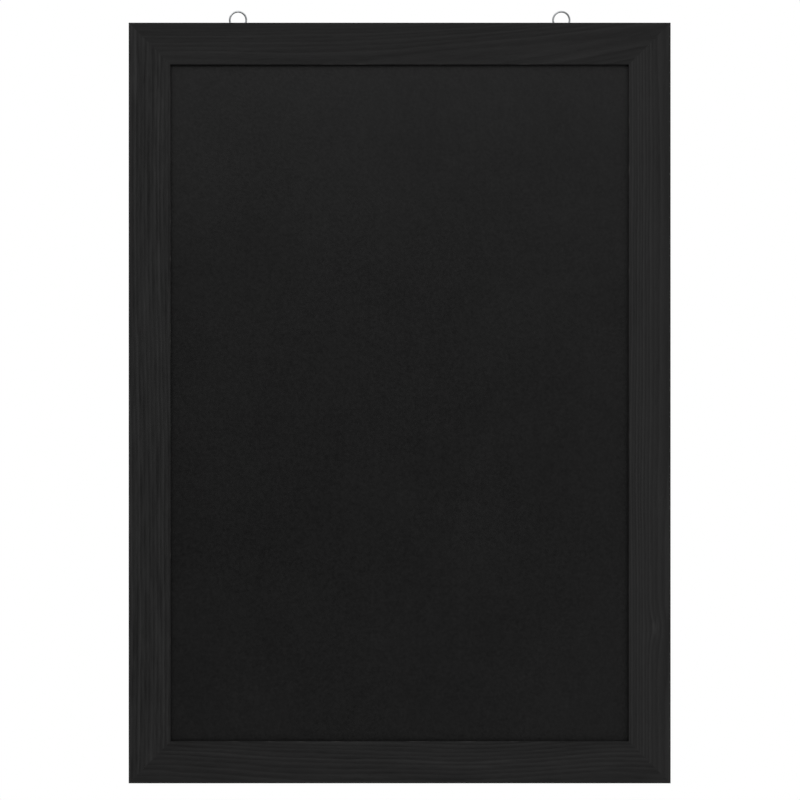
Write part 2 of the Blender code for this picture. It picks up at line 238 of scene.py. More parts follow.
# %% Floor
FLOOR_BELOW_BOARD = 0.4
FLOOR_RADIUS = 1.4
FLOOR_FADE_START = 0.8
FLOOR_SEGMENTS = 96


def new_finish(name, fixed):
    """A new material, its node tree and its Principled shader with some values fixed."""
    finish = bpy.data.materials.new(name)
    finish.use_nodes = True
    shader = finish.node_tree.nodes["Principled BSDF"]
    for socket, value in fixed.items():
        shader.inputs[socket].default_value = value
    return finish, finish.node_tree, shader


fixed = {"Base Color": linear("#efefee"), "Roughness": 0.9}
paper, tree, shader = new_finish("pale studio floor", fixed)
place = add_node(tree, "TexCoord", output="Object")
flat = add_node(tree, "VectorMath", {0: place, 1: (1, 1, 0)}, operation="MULTIPLY")
centre = (MIDDLE.x, MIDDLE.y, 0)
away = add_node(tree, "VectorMath", {0: flat, 1: centre}, "Value", operation="DISTANCE")
inputs = {"Value": away} | span((FLOOR_FADE_START, FLOOR_RADIUS), (0.0, 1.0))
gone = add_node(tree, "MapRange", inputs, interpolation_type="SMOOTHSTEP")
clear = add_node(tree, "BsdfTransparent")
rim = add_node(tree, "MixShader", {0: gone, 1: shader.outputs[0], 2: clear})
tree.links.new(rim, tree.nodes["Material Output"].inputs["Surface"])

shape = bmesh.new()
bmesh.ops.create_circle(shape, cap_ends=True, segments=FLOOR_SEGMENTS, radius=FLOOR_RADIUS)
floor = make_piece("floor", shape, [paper], place=(MIDDLE.x, MIDDLE.y, BOTTOM - FLOOR_BELOW_BOARD))
print(f"floor {FLOOR_BELOW_BOARD} m below the board")

# %% [markdown]
# ## Pine, stained black
# The frame is softwood with a black stain that lets the grain show. Each year the tree lays down a
# wide soft band and a narrow hard one. The soft wood drinks the stain and goes dark and dull. The
# hard wood takes less, so it stays a little lighter and shinier, and stands a trace proud after
# sanding.
#
# A real board is a cut through a stack of cones, so the pattern starts from rings about a pith
# line that lies somewhere outside the piece. The distance to that line, bent by slow noise along
# the grain, gives the year rings on every face at once: long lines on the faces, arcs on the end
# grain. Fine stretched noise adds the fibres, and a broad one the clouds where the stain took
# better.

# %% Where the grain runs
def per_metre(along_mm, across_mm):
    """Scale of a pattern whose features are that long and that wide, along the grain (X)."""
    return (1000 / along_mm, 1000 / across_mm, 1000 / across_mm)


def own_place(tree, member):
    """Object coordinates moved and turned into a member's own: X runs along it from its middle."""
    place = add_node(tree, "TexCoord", output="Object")
    moved = -(Matrix.Rotation(-member["turn"], 3, "Y") @ Vector(member["place"]))
    inputs = {"Vector": place, "Location": moved, "Rotation": (0, -member["turn"], 0)}
    return add_node(tree, "Mapping", inputs)


def grain_place(tree, own, look):
    """The member's own coordinates with the pith as X axis. Past a point the grain sweeps aside."""
    along = add_node(tree, "SeparateXYZ", {"Vector": own}, "X")
    beyond = add_node(tree, "Math", {0: along, 1: look["sweep_from"]}, operation="SUBTRACT")
    beyond = add_node(tree, "Math", {0: beyond, 1: 0.0}, operation="MAXIMUM")
    squared = add_node(tree, "Math", {0: beyond, 1: beyond}, operation="MULTIPLY")
    aside = add_node(tree, "Math", {0: squared, 1: -look["sweep"]}, operation="MULTIPLY")
    aside = add_node(tree, "CombineXYZ", {"Z": aside})
    swept = add_node(tree, "VectorMath", {0: own, 1: aside}, operation="ADD")
    from_pith = (look["seed"], -look["pith_depth"], -look["pith_across"])
    slope = (0, math.radians(look["slope"]), 0)
    return add_node(tree, "Mapping", {"Vector": swept, "Location": from_pith, "Rotation": slope})


print("a 60 mm fibre repeats", round(per_metre(60, 5)[0], 1), "times a metre")

# %% [markdown]
# The distance to the pith, divided by the width of a ring, counts the years. Its fraction runs
# through one year, from the soft early wood to the hard late wood. A knot lifts the count in a
# small hill, and the rings flow round it.

# %% Year rings
DRIFT_WIDTH_MM = 120
# A pattern's length and width in millimetres, its detail and its roughness.
RIPPLE = ((90, 6), 2.0, 0.5)
# How far through the year, and how light the stained wood is there.
YEAR_SHADES = ((0.18, 0.10), (0.45, 0.50), (0.66, 0.93), (0.78, 1.0), (0.91, 0.6))
WEAKEST_YEAR = 0.45
YEAR_SPREAD = 0.7
MEAN_SHADE = 0.4


def knot_hill(tree, own, place, size_mm):
    """A soft hill round a knot, 1 in its middle, that fades over a length and a width."""
    off = add_node(tree, "VectorMath", {0: own, 1: place}, operation="SUBTRACT")
    scaled = add_node(tree, "VectorMath", {0: off, 1: per_metre(*size_mm)}, operation="MULTIPLY")
    reach = add_node(tree, "VectorMath", {0: scaled}, "Value", operation="LENGTH")
    squared = add_node(tree, "Math", {0: reach, 1: 2.0}, operation="POWER")
    return add_node(tree, "Math", {0: add_up(tree, 0.0, [(squared, -1.0)])}, operation="EXPONENT")


def year_count(tree, own, grain, streaks, look):
    """How many rings lie between the pith and a point, with slow drift, ripples and knots."""
    drift = streaks((look["drift_mm"], DRIFT_WIDTH_MM), 1.0, 0.5, "Color")
    centred = add_node(tree, "VectorMath", {0: drift, 1: (0.5, 0.5, 0.5)}, operation="SUBTRACT")
    wander = {0: centred, 1: (0, look["wander"], look["wander"])}
    shift = add_node(tree, "VectorMath", wander, operation="MULTIPLY")
    bent = add_node(tree, "VectorMath", {0: grain, 1: shift}, operation="ADD")
    across = add_node(tree, "VectorMath", {0: bent, 1: (0, 1, 1)}, operation="MULTIPLY")
    radius = add_node(tree, "VectorMath", {0: across}, "Value", operation="LENGTH")
    years = add_node(tree, "Math", {0: radius, 1: 1 / look["ring_width"]}, operation="MULTIPLY")
    layers = [(streaks(*RIPPLE), look["ripple"])]
    for knot in look["knots"]:
        layers.append((knot_hill(tree, own, knot["place"], knot["size_mm"]), knot["rings"]))
    return add_up(tree, years, layers)


def ring_shade(tree, years):
    """The shade of each year's two bands, about 0 on average. Some years are stronger."""
    phase = add_node(tree, "Math", {0: years}, operation="FRACT")
    bands = add_node(tree, "ValToRGB", {"Fac": phase})
    ramp = bands.node.color_ramp.elements
    ramp[0].color = ramp[1].color = (0.0, 0.0, 0.0, 1.0)
    for position, shade_level in YEAR_SHADES:
        ramp.new(position).color = (shade_level, shade_level, shade_level, 1.0)
    year = add_node(tree, "Math", {0: years}, operation="FLOOR")
    luck = add_node(tree, "TexWhiteNoise", {"W": year}, "Value", noise_dimensions="1D")
    strength = add_up(tree, WEAKEST_YEAR, [(luck, YEAR_SPREAD)])
    return add_up(tree, -MEAN_SHADE, [(bands, strength)])


print("shades in a year:", len(YEAR_SHADES) + 2)

# %% [markdown]
# The finish adds up the rings, the fibres, the fine hairs and the clouds to one tone between the
# two colours of the stained wood. Lighter wood is a little shinier. Where a hand rubs the arrises,
# the stain wears thin in patches.

# %% Pine material
FIBRE = ((60, 5), 3.0, 0.65)
HAIR = ((12, 0.4), 3.0, 0.6)
CLOUD = ((120, 26), 2.0, 0.5)
RUBBING = ((26, 14), 2.0, 0.6)
# How strongly the hairs break up a knot's light patch.
KNOT_BROKEN = 5.0
ARRIS_WEIGHT = 0.55
RUBBED_FROM_TO = (1.0, 1.2)
MOST_RUBBED = 0.8
GLOSS_SPREAD = (0.06, -0.08)
# How deep each pattern goes, as a share of the relief.
RING_DEPTH_SHARE = 0.5
HAIR_DEPTH_SHARE = 0.3
FIBRE_DEPTH_SHARE = 0.6


def connect(tree, shader, colour, gloss, height, depth):
    """Wire a finish: its colour, its roughness, and its relief with the depth in metres."""
    bump = add_node(tree, "Bump", {"Height": height, "Strength": 1.0, "Distance": depth})
    tree.links.new(colour, shader.inputs["Base Color"])
    tree.links.new(gloss, shader.inputs["Roughness"])
    tree.links.new(bump, shader.inputs["Normal"])


def pine(name, member, look, soft, hard, rubbed=None):
    """Pine with year rings along the member's own length. look places the pith, soft and hard are
    the hex colours of the two bands, and rubbed is what shows where the arrises are worn."""
    fixed = {"IOR": 1.5, "Specular IOR Level": look["specular"]}
    finish, tree, shader = new_finish(name, fixed)
    own = own_place(tree, member)
    grain = grain_place(tree, own, look)

    def streaks(size_mm, detail, rough, output="Fac"):
        """Noise stretched along the grain."""
        longer = {0: grain, 1: per_metre(*size_mm)}
        stretched = add_node(tree, "VectorMath", longer, operation="MULTIPLY")
        inputs = {"Vector": stretched, "Scale": 1.0, "Detail": detail, "Roughness": rough}
        return add_node(tree, "TexNoise", inputs, output)

    ring = ring_shade(tree, year_count(tree, own, grain, streaks, look))
    fibre, hair, cloud = (add_up(tree, -0.5, [(streaks(*kind), 1.0)]) for kind in (FIBRE, HAIR, CLOUD))
    layers = [(ring, look["ring_contrast"]), (fibre, look["fibre_contrast"])]
    layers += [(hair, look["hair_contrast"]), (cloud, look["cloud_contrast"])]
    for knot in look["knots"]:
        hill = knot_hill(tree, own, knot["place"], knot["patch_mm"])
        rough_hill = {0: hill, 1: add_up(tree, 1.0, [(hair, KNOT_BROKEN)])}
        layers.append((add_node(tree, "Math", rough_hill, operation="MULTIPLY"), knot["lighter"]))
    tone = add_up(tree, look["level"], layers)
    tone = add_node(tree, "Math", {0: tone, 1: 0.0}, operation="ADD", use_clamp=True)
    wood = add_node(tree, "Mix", {0: tone, 6: linear(soft), 7: linear(hard)}, 2, data_type="RGBA")
    if rubbed:
        arris = add_node(tree, "Attribute", output="Fac", attribute_name="arris")
        worn = add_up(tree, streaks(*RUBBING), [(arris, ARRIS_WEIGHT)])
        inputs = {"Value": worn} | span(RUBBED_FROM_TO, (0.0, MOST_RUBBED))
        share = add_node(tree, "MapRange", inputs, interpolation_type="SMOOTHSTEP")
        wood = add_node(tree, "Mix", {0: share, 6: wood, 7: linear(rubbed)}, 2, data_type="RGBA")
    gloss_levels = [look["roughness"] + change for change in GLOSS_SPREAD]
    inputs = {"Value": tone} | span((0.0, 1.0), gloss_levels)
    gloss = add_node(tree, "MapRange", inputs, interpolation_type="SMOOTHSTEP")
    layers = [(ring, RING_DEPTH_SHARE), (hair, HAIR_DEPTH_SHARE), (fibre, FIBRE_DEPTH_SHARE)]
    connect(tree, shader, wood, gloss, add_up(tree, 0.0, layers), look["relief"])
    return finish


print("pine material ready")

# %% [markdown]
# ## The four mouldings
# The frame is cut from one length of moulding: a flat face, a rabbet behind for the panel, and
# arrises that are only just broken. The pieces meet in mitres. A section of six corners is pushed
# along to a bar, and its long arrises are bevelled round: half a millimetre on the two in front, a
# whole one on the outer one behind. Two slanted planes take the ends off, as the mitre saw does.

# %% Moulding sizes
LIP = 0.005
RABBET = 0.008
ARRIS = 0.0005
BACK_ARRIS = 0.001
ARRIS_SEGMENTS = 4
# How far from the sharp corner the flat begins, and how far the wear reaches.
ARRIS_HOLD = 0.0007
WEAR_REACH = 0.0022
LOOP_SPACING = 0.006
WAVER = 0.00003
# Glued mitres meet in a seam too thin to see.
MITRE_SEAM = 0.000001
SOLID_WIDTH = MOULDING_WIDTH - RABBET
print(f"solid part of the moulding {SOLID_WIDTH * 1000:.0f} mm wide")

# %% [markdown]
# Each helper does one thing that a joiner does. The bar also gets loops every few millimetres, and
# loops beside its arrises, because the arrises then get the slight waver that sanding by hand
# leaves.

# %% Moulding helpers
ARRIS_CORNERS = [Vector((0, 0)), Vector((0, -MOULDING_WIDTH)), Vector((THICKNESS, 0))]
LONG_SHARE = 0.99


def long_edges(shape, length, corners=None):
    """The edges that run along a bar, all of them or only those at the given corners."""
    least = length * LONG_SHARE
    found = [e for e in shape.edges if abs(e.verts[0].co.x - e.verts[1].co.x) > least]
    if corners is None:
        return found
    return [e for e in found if any((e.verts[0].co.yz - c).length < ARRIS / 2 for c in corners)]


def last_of(result, kind):
    """The elements of one kind at the end of an extrusion or a spin."""
    geometry = result.get("geom") or result.get("geom_last")
    return [item for item in geometry if isinstance(item, kind)]


def thicken(shape, faces, vec):
    """Push flat faces along a vector, so that they become a solid."""
    pushed = bmesh.ops.extrude_face_region(shape, geom=faces)
    bmesh.ops.translate(shape, vec=vec, verts=last_of(pushed, bmesh.types.BMVert))
    bmesh.ops.recalc_face_normals(shape, faces=shape.faces)


def round_off(shape, edges, radius, segments):
    """Round some edges of a shape."""
    bmesh.ops.bevel(
        shape, geom=edges, offset=radius, segments=segments, profile=0.5, affect="EDGES", material=-1,
        clamp_overlap=True,
    )


def bar(length):
    """A length of the moulding along X, its outer edge at z = 0, its front at y = 0."""
    outline = [
        (0, 0),
        (0, -MOULDING_WIDTH),
        (LIP, -MOULDING_WIDTH),
        (LIP, -SOLID_WIDTH),
        (THICKNESS, -SOLID_WIDTH),
        (THICKNESS, 0),
    ]
    shape = bmesh.new()
    section = shape.faces.new([shape.verts.new((-length / 2, y, z)) for y, z in outline])
    thicken(shape, [section], (length, 0, 0))
    for radius, corners in ((ARRIS, ARRIS_CORNERS[:2]), (BACK_ARRIS, ARRIS_CORNERS[2:])):
        round_off(shape, long_edges(shape, length, corners), radius, ARRIS_SEGMENTS)
    return shape


def wear_share(section_point):
    """How close a point of the section lies to an arris: 0 on the flats, 1 on the sharp corner."""
    away = min((section_point - corner).length for corner in ARRIS_CORNERS)
    return max(0.0, 1 - away / WEAR_REACH)


def slice_shape(shape, point, normal, **options):
    """Cut through a whole shape at a plane. Both sides stay unless an option clears one."""
    everything = shape.verts[:] + shape.edges[:] + shape.faces[:]
    bmesh.ops.bisect_plane(shape, geom=everything, plane_co=point, plane_no=normal, **options)


def add_loops(shape, length):
    """Loops across the bar, and two beside each arris: where it meets the flat, and where wear ends."""
    for height in (-ARRIS_HOLD, -WEAR_REACH, WEAR_REACH - MOULDING_WIDTH, ARRIS_HOLD - MOULDING_WIDTH):
        slice_shape(shape, (0, 0, height), (0, 0, 1))
    for depth in (ARRIS_HOLD, WEAR_REACH, THICKNESS - WEAR_REACH, THICKNESS - ARRIS_HOLD):
        slice_shape(shape, (0, depth, 0), (0, 1, 0))
    cuts = int(length / LOOP_SPACING)
    bmesh.ops.subdivide_edges(shape, edges=long_edges(shape, length), cuts=cuts, use_grid_fill=True)


def cut_mitres(shape, length):
    """Take both ends off at 45 degrees and close them with raw wood."""
    for end in (-1, 1):
        outward = Vector((end, 0, -1)).normalized()
        corner = Vector((end * length / 2, 0, 0)) - outward * MITRE_SEAM / 2
        slice_shape(shape, corner, outward, clear_outer=True)
        rim = [e for e in shape.edges if e.is_boundary]
        for face in bmesh.ops.holes_fill(shape, edges=rim, sides=0)["faces"]:
            face.material_index = 1


print("one metre of moulding gets", int(1 / LOOP_SPACING), "loops")

# %% [markdown]
# Nothing made of steel floats in real wood: each nail and each point sits in the slit that it cut.
# A Boolean takes the same slits out of the mouldings, a hair wider than the steel, and leaves raw,
# unstained pine inside them. The cutters are the steel pieces themselves, made with a little
# growth, so these come first.

# %% V-nail
NAIL_STEEL = 0.0005
NAIL_BEND = 0.0006
SLIT_ROOM = 0.00005
BEND_SEGMENTS = 6
nail_low, nail_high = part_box("v_nail_top_left_1")
NAIL_LEG = nail_high.x - nail_low.x - NAIL_STEEL / 2
NAIL_HEIGHT = nail_high.y - nail_low.y


def push(shape, result, vec):
    """Extrude the last edges of a strip along a vector."""
    pushed = bmesh.ops.extrude_edge_only(shape, edges=last_of(result, bmesh.types.BMEdge))
    bmesh.ops.translate(shape, vec=vec, verts=last_of(pushed, bmesh.types.BMVert))
    return pushed


def turn_round(shape, result, centre, axis, angle, steps):
    """Spin the last edges of a strip about an axis."""
    geometry = last_of(result, bmesh.types.BMVert) + last_of(result, bmesh.types.BMEdge)
    return bmesh.ops.spin(shape, geom=geometry, cent=centre, axis=axis, angle=angle, steps=steps)


def v_nail(grow=0.0, proud=0.0):
    """Two legs at a right angle, along +X and -Z from a rounded bend, with their back edges at
    y = 0. A cutter is grown all round and stands proud at the back."""
    half = NAIL_STEEL / 2 + grow
    leg = NAIL_LEG + grow
    shape = bmesh.new()
    tip = [shape.verts.new((leg, proud, height)) for height in (half, -half)]
    first = push(shape, {"geom": [shape.edges.new(tip)]}, (NAIL_BEND - leg, 0, 0))
    centre = (NAIL_BEND, 0, -NAIL_BEND)
    bend = turn_round(shape, first, centre, (0, 1, 0), -math.pi / 2, BEND_SEGMENTS)
    push(shape, bend, (0, 0, NAIL_BEND - leg))
    thicken(shape, shape.faces[:], (0, -NAIL_HEIGHT - grow - proud, 0))
    return shape


def report(name, shape):
    """Print how many faces a trial shape has and whether it is closed, then clear it away."""
    print(name, "faces:", len(shape.faces), "open edges:", sum(e.is_boundary for e in shape.edges))
    shape.free()


report("v-nail", v_nail())

# %% [markdown]
# The flat points that hold the panel are punched from the same kind of strip: a little spade whose
# tip is driven into the rabbet's wall. The free end is sprung forward, so it presses on the panel.

# %% Panel point
POINT_STEEL = 0.0005
POINT_TIP = 0.003
SPRING_LENGTH = 0.005
SPRING_LOOPS = 8
point_low, point_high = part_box("panel_point_top_1")
POINT_WIDTH = point_high.x - point_low.x
POINT_LENGTH = point_high.z - point_low.z
POINT_Y = (point_low.y + point_high.y) / 2
SPRUNG = POINT_Y - POINT_STEEL / 2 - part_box("writing_panel")[1].y


def panel_point(grow=0.0, sprung=0.0):
    """A spade of strip in the XZ plane, tip up, the rabbet's wall at z = 0."""
    half = POINT_WIDTH / 2 + grow
    reach = POINT_LENGTH / 2 + grow
    shoulder = POINT_LENGTH / 2 - POINT_TIP
    outline = [(-half, -reach), (half, -reach), (half, shoulder), (0, reach), (-half, shoulder)]
    shape = bmesh.new()
    face = shape.faces.new([shape.verts.new((x, -POINT_STEEL / 2 - grow, z)) for x, z in outline])
    thicken(shape, [face], (0, POINT_STEEL + 2 * grow, 0))
    if sprung:
        for loop in range(1, SPRING_LOOPS + 1):
            slice_shape(shape, (0, 0, -SPRING_LENGTH * loop / SPRING_LOOPS), (0, 0, 1))
        for vert in shape.verts:
            share = min(1.0, max(0.0, -vert.co.z / SPRING_LENGTH))
            vert.co.y -= sprung * share * share * (3 - 2 * share)
    return shape


report(f"panel point, sprung by {SPRUNG * 1000:.2f} mm,", panel_point(sprung=SPRUNG))

# %% [markdown]
# ## From a shape to a finished piece
# No real edge is quite sharp, so the first helper breaks the edges of a shape. The second cuts other
# shapes out of a piece. The third says which solid the piece stands for.

# %% Piece helpers
def bevel_sharp(shape, width, segments=2, least=SHARP_ANGLE):
    """Break every edge of a shape whose two faces meet at more than the least angle."""
    sharp = [e for e in shape.edges if len(e.link_faces) == 2 and e.calc_face_angle() > least]
    round_off(shape, sharp, width, segments)


def carve(piece, cutters):
    """Take the cutters' shapes out of a piece, then delete the cutters."""
    for cutter in cutters:
        cut = piece.modifiers.new(cutter.name, "BOOLEAN")
        cut.object = cutter
        cut.operation = "DIFFERENCE"
        cut.solver = "EXACT"
        cut.material_mode = "TRANSFER"
    evaluated = piece.evaluated_get(bpy.context.evaluated_depsgraph_get())
    mesh = bpy.data.meshes.new_from_object(evaluated)
    piece.modifiers.clear()
    uncut = piece.data
    piece.data = mesh
    bpy.data.meshes.remove(uncut)
    mesh.name = piece.name
    shade(mesh)
    for cutter in cutters:
        block = cutter.data
        bpy.data.objects.remove(cutter)
        bpy.data.meshes.remove(block)


def stand_for(piece, node, body="board"):
    """The piece moves with a body and is seen in the place of one solid."""
    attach(piece, body)
    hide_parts(node)


print("bevel_sharp, carve and stand_for")

# %% [markdown]
# ## Finish of the four mouldings
# No two lengths of pine look alike. In the photograph the left stile has strong dark and light
# streaks, the right one fine straight lines and a small light knot low down, the top rail is calm
# on its left and has long slanting lines on its right, and the bottom rail is wavy. The table
# gives each member its own cut: where the pith lay, how far the rings are apart, how much the
# grain slopes and how strongly the stain took. Lengths are in metres, or in millimetres where the
# name ends in mm. Slopes are in degrees, levels and contrasts in shares.
#
# Inside a joint the wood is bare. The same grain is used there with the colours of fresh pine.

# %% Looks of the members
# What the members share, where their own look says nothing else.
BASE_LOOK = {
    "slope": 0.0, "sweep": 0.0, "sweep_from": 0.0, "drift_mm": 420, "wander": 0.012, "ripple": 0.8,
    "hair_contrast": 0.4, "knots": (), "roughness": 0.62, "relief": 0.00006, "specular": 0.1,
}
LIGHT_KNOT = {
    "place": (0.237, 0.0, -0.0163), "size_mm": (16, 9), "rings": 0.9, "patch_mm": (7, 4), "lighter": 0.22,
}
LOOKS = {
    "top_rail": {
        "seed": 1.3, "pith_depth": 0.035, "pith_across": -0.044, "ring_width": 0.0024, "slope": 0.3,
        "sweep": 0.31, "sweep_from": -0.07, "level": 0.25, "ring_contrast": 0.13,
        "fibre_contrast": 0.18, "cloud_contrast": 0.2,
    },
    "bottom_rail": {
        "seed": 4.7, "pith_depth": 0.06, "pith_across": 0.03, "ring_width": 0.0032, "slope": -0.5,
        "drift_mm": 240, "wander": 0.022, "level": 0.30, "ring_contrast": 0.25,
        "fibre_contrast": 0.4, "cloud_contrast": 0.25,
    },
    "left_stile": {
        "seed": 7.9, "pith_depth": 0.02, "pith_across": 0.07, "ring_width": 0.0042, "slope": 0.4,
        "wander": 0.010, "level": 0.34, "ring_contrast": 0.28,
        "fibre_contrast": 0.85, "cloud_contrast": 0.3,
    },
    "right_stile": {
        "seed": 11.2, "pith_depth": 0.025, "pith_across": -0.002, "ring_width": 0.0024,
        "wander": 0.005, "level": 0.37, "ring_contrast": 0.23,
        "fibre_contrast": 0.05, "cloud_contrast": 0.22, "knots": (LIGHT_KNOT,),
    },
}
CENTRE_X = MIDDLE.x
MEMBERS = {
    "top_rail": {"length": RIGHT - LEFT, "turn": 0.0, "place": (CENTRE_X, FRONT, TOP)},
    "bottom_rail": {"length": RIGHT - LEFT, "turn": math.pi, "place": (CENTRE_X, FRONT, BOTTOM)},
    "left_stile": {"length": TOP - BOTTOM, "turn": -math.pi / 2, "place": (LEFT, FRONT, MIDDLE.z)},
    "right_stile": {"length": TOP - BOTTOM, "turn": math.pi / 2, "place": (RIGHT, FRONT, MIDDLE.z)},
}
for name, member in MEMBERS.items():
    look = BASE_LOOK | LOOKS[name]
    colours = {"soft": "#0f0f0f", "hard": "#303030", "rubbed": "#383736"}
    member["stained"] = pine(f"black stained pine {name}", member, look, **colours)
    look |= {"relief": 0.00004, "roughness": 0.7}
    member["bare"] = pine(f"bare pine {name}", member, look, soft="#d8b98a", hard="#a97f4c")
print("finishes:", len(bpy.data.materials))

# %% [markdown]
# ## Steel finishes
# The V-nails and points are bare strip: rolled bright, with fine lines along the rolling. The
# hangers are zinc plated. Fresh zinc is a cool light grey, not a mirror. It shows faint
# clouds of passivation and tiny scratches from the tumbling barrel, which mostly change how
# sharply it reflects.

# %% Steel material
LINE_SHARE = 0.4
LINE_STRETCH = (1, 1, 0.06)
SPOT_LEVEL = 0.2
SPOT_WEIGHT = 0.6
SPOT_RANGE = (0.35, 0.65)
STEEL_GLOSS_SPREAD = (-0.10, 0.14)


def speckle(size_mm, detail=2.0, rough=0.5):
    """The inputs of a noise whose features are that many millimetres across."""
    return {"Scale": 1000 / size_mm, "Detail": detail, "Roughness": rough}


def steel(name, bright, dull, roughness, streak_mm, spot_mm, relief):
    """A metal with fine lines along Z, whose colour and gloss vary in spots."""
    finish, tree, shader = new_finish(name, {"Metallic": 1.0})
    place = add_node(tree, "TexCoord", output="Object")
    streaky = speckle(streak_mm, detail=4.0, rough=0.65)
    fine = add_node(tree, "TexNoise", {"Vector": place} | streaky)
    spots = add_node(tree, "TexNoise", {"Vector": place} | speckle(spot_mm))
    stretched = add_node(tree, "VectorMath", {0: place, 1: LINE_STRETCH}, operation="MULTIPLY")
    lines = add_node(tree, "TexNoise", {"Vector": stretched} | speckle(streak_mm * LINE_SHARE))
    cloudy = add_up(tree, SPOT_LEVEL, [(spots, SPOT_WEIGHT)])
    share = add_node(tree, "MapRange", {"Value": cloudy} | span(SPOT_RANGE, (0.0, 1.0)))
    shades = {0: share, 6: linear(bright), 7: linear(dull)}
    colour = add_node(tree, "Mix", shades, 2, data_type="RGBA")
    uneven = add_up(tree, fine, [(share, 1.0)])
    gloss_levels = [roughness + change for change in STEEL_GLOSS_SPREAD]
    gloss = add_node(tree, "MapRange", {"Value": uneven} | span((0.0, 2.0), gloss_levels))
    connect(tree, shader, colour, gloss, add_up(tree, fine, [(lines, 1.0)]), relief)
    return finish


ZINC_PLATE = steel(
    "bright zinc plate", "#b9bbbd", "#999b9e", roughness=0.30, streak_mm=0.9, spot_mm=5.0, relief=0.000004
)
STRIP_STEEL = steel(
    "rolled strip steel", "#b4b4b6", "#8c8a88", roughness=0.34, streak_mm=0.6, spot_mm=3.0, relief=0.000005
)
print("steel:", ZINC_PLATE.name, "and", STRIP_STEEL.name)

# %% [markdown]
# ## Cut and set the mouldings
# Each bar is sawn to its mitres and given its waver, then moved to its side of the board. The
# slits for the nails and points are cut after that, where the steel really sits.

# %% Frame members
SLIT_PROUD = 0.001
WAVER_LENGTH = 0.035
WAVER_BIAS = 0.3
WAVER_SEED_STEP = 7.3
HEIGHT_WEIGHT = 3
SECTION_MIDDLE = Vector((0, THICKNESS / 2, -MOULDING_WIDTH / 2))


def waver(shape, seed):
    """Let the arrises run in and out by a few hundredths of a millimetre, as hand sanding does."""
    for vert in shape.verts:
        share = wear_share(vert.co.yz)
        if share > 0:
            along = Vector((vert.co.x / WAVER_LENGTH, seed, HEIGHT_WEIGHT * vert.co.z))
            to_middle = SECTION_MIDDLE - vert.co
            inward = Vector((0, math.copysign(1, to_middle.y), math.copysign(1, to_middle.z)))
            vert.co += inward * WAVER * share * max(0.0, noise.noise(along) + WAVER_BIAS)


for number, (name, member) in enumerate(MEMBERS.items()):
    shape = bar(member["length"])
    add_loops(shape, member["length"])
    waver(shape, number * WAVER_SEED_STEP)
    cut_mitres(shape, member["length"])
    finishes = (member["stained"], member["bare"])
    member["piece"] = make_piece(name, shape, finishes, member["turn"], member["place"])
    print(name, len(member["piece"].data.polygons), "faces")

# %% [markdown]
# Two nails cross each mitre, so every nail is let into both members that meet there. The points
# and the two hanger screws go into one member each.

# %% Nails, points and their slits
CORNER_TURNS = {"top_left": 0, "top_right": 90, "bottom_right": 180, "bottom_left": 270}
# Each side's turn in degrees, its member and how many points it holds.
SIDES = {
    "top": (0, "top_rail", 2),
    "right": (90, "right_stile", 3),
    "bottom": (180, "bottom_rail", 2),
    "left": (270, "left_stile", 3),
}
NAIL_BREAK = 0.00005
POINT_BREAK = 0.00008
inset = NAIL_STEEL / 2
slits = {name: [] for name in MEMBERS}


def add_slit(member_name, shape, turn, place):
    """A cutter that leaves bare wood in a member."""
    cutter = make_piece(f"slit_{member_name}", shape, [MEMBERS[member_name]["bare"]], turn, place)
    slits[member_name].append(cutter)


for corner, degrees in CORNER_TURNS.items():
    for number in (1, 2):
        low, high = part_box(f"v_nail_{corner}_{number}")
        x = low.x + inset if corner.endswith("left") else high.x - inset
        z = low.z + inset if corner.startswith("bottom") else high.z - inset
        place, turn = (x, BACK, z), math.radians(degrees)
        shape = v_nail()
        bevel_sharp(shape, NAIL_BREAK, 1)
        nail = make_piece(f"corner_nail_{corner}_{number}", shape, [STRIP_STEEL], turn, place)
        stand_for(nail, f"v_nail_{corner}_{number}")
        for side in corner.split("_"):
            add_slit(SIDES[side][1], v_nail(SLIT_ROOM, SLIT_PROUD), turn, place)

for side, (degrees, member_name, points) in SIDES.items():
    for number in range(1, points + 1):
        low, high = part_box(f"panel_point_{side}_{number}")
        place, turn = (low + high) / 2, math.radians(degrees)
        shape = panel_point(sprung=SPRUNG)
        bevel_sharp(shape, POINT_BREAK)
        point = make_piece(f"spade_point_{side}_{number}", shape, [STRIP_STEEL], turn, place)
        stand_for(point, f"panel_point_{side}_{number}")
        add_slit(member_name, panel_point(SLIT_ROOM), turn, place)
print({name: len(cutters) for name, cutters in slits.items()}, "slits")

# %% [markdown]
# ## Hangers
# Each hanger is a strip of zinc-plated steel, folded round the ring's wire into an eye, with both
# leaves under one screw. The strip is a flat loop of four corners: it is pushed up the inner leaf,
# spun round the eye, spun back through the small bend and pushed down the outer leaf. That is
# the way the press folds it, so the steel has the same thickness everywhere.

# %% Strap
STRAP_STEEL = 0.0008
LEAF_GAP = 0.0001
BEND_RADIUS = 0.001
CORNER_RADIUS = 0.0025
STRAP_BREAK = 0.00012
SEAT_GAP = 0.00002
CORNER_SEGMENTS = 8
EYE_SEGMENTS = 40
FOLD_SEGMENTS = 14
WELD = 0.0000001
TOUCH = 0.000001


def strap_measures(side):
    """Where one strap's eye and leaves lie, from the box of its solid."""
    low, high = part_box(f"hanger_{side}_strap")
    axis_y = (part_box(f"hanger_{side}_ring")[0].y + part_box(f"hanger_{side}_ring")[1].y) / 2
    outer = axis_y - low.y
    settle = low.y - BACK - SEAT_GAP
    radius = outer - STRAP_STEEL / 2 + settle / 2
    return {
        "x": (low.x + high.x) / 2,
        "width": high.x - low.x,
        "axis_z": high.z - outer,
        "end_z": low.z,
        "eye_y": axis_y - settle / 2,
        "radius": radius,
        "inner_y": axis_y - settle / 2 - radius,
    }


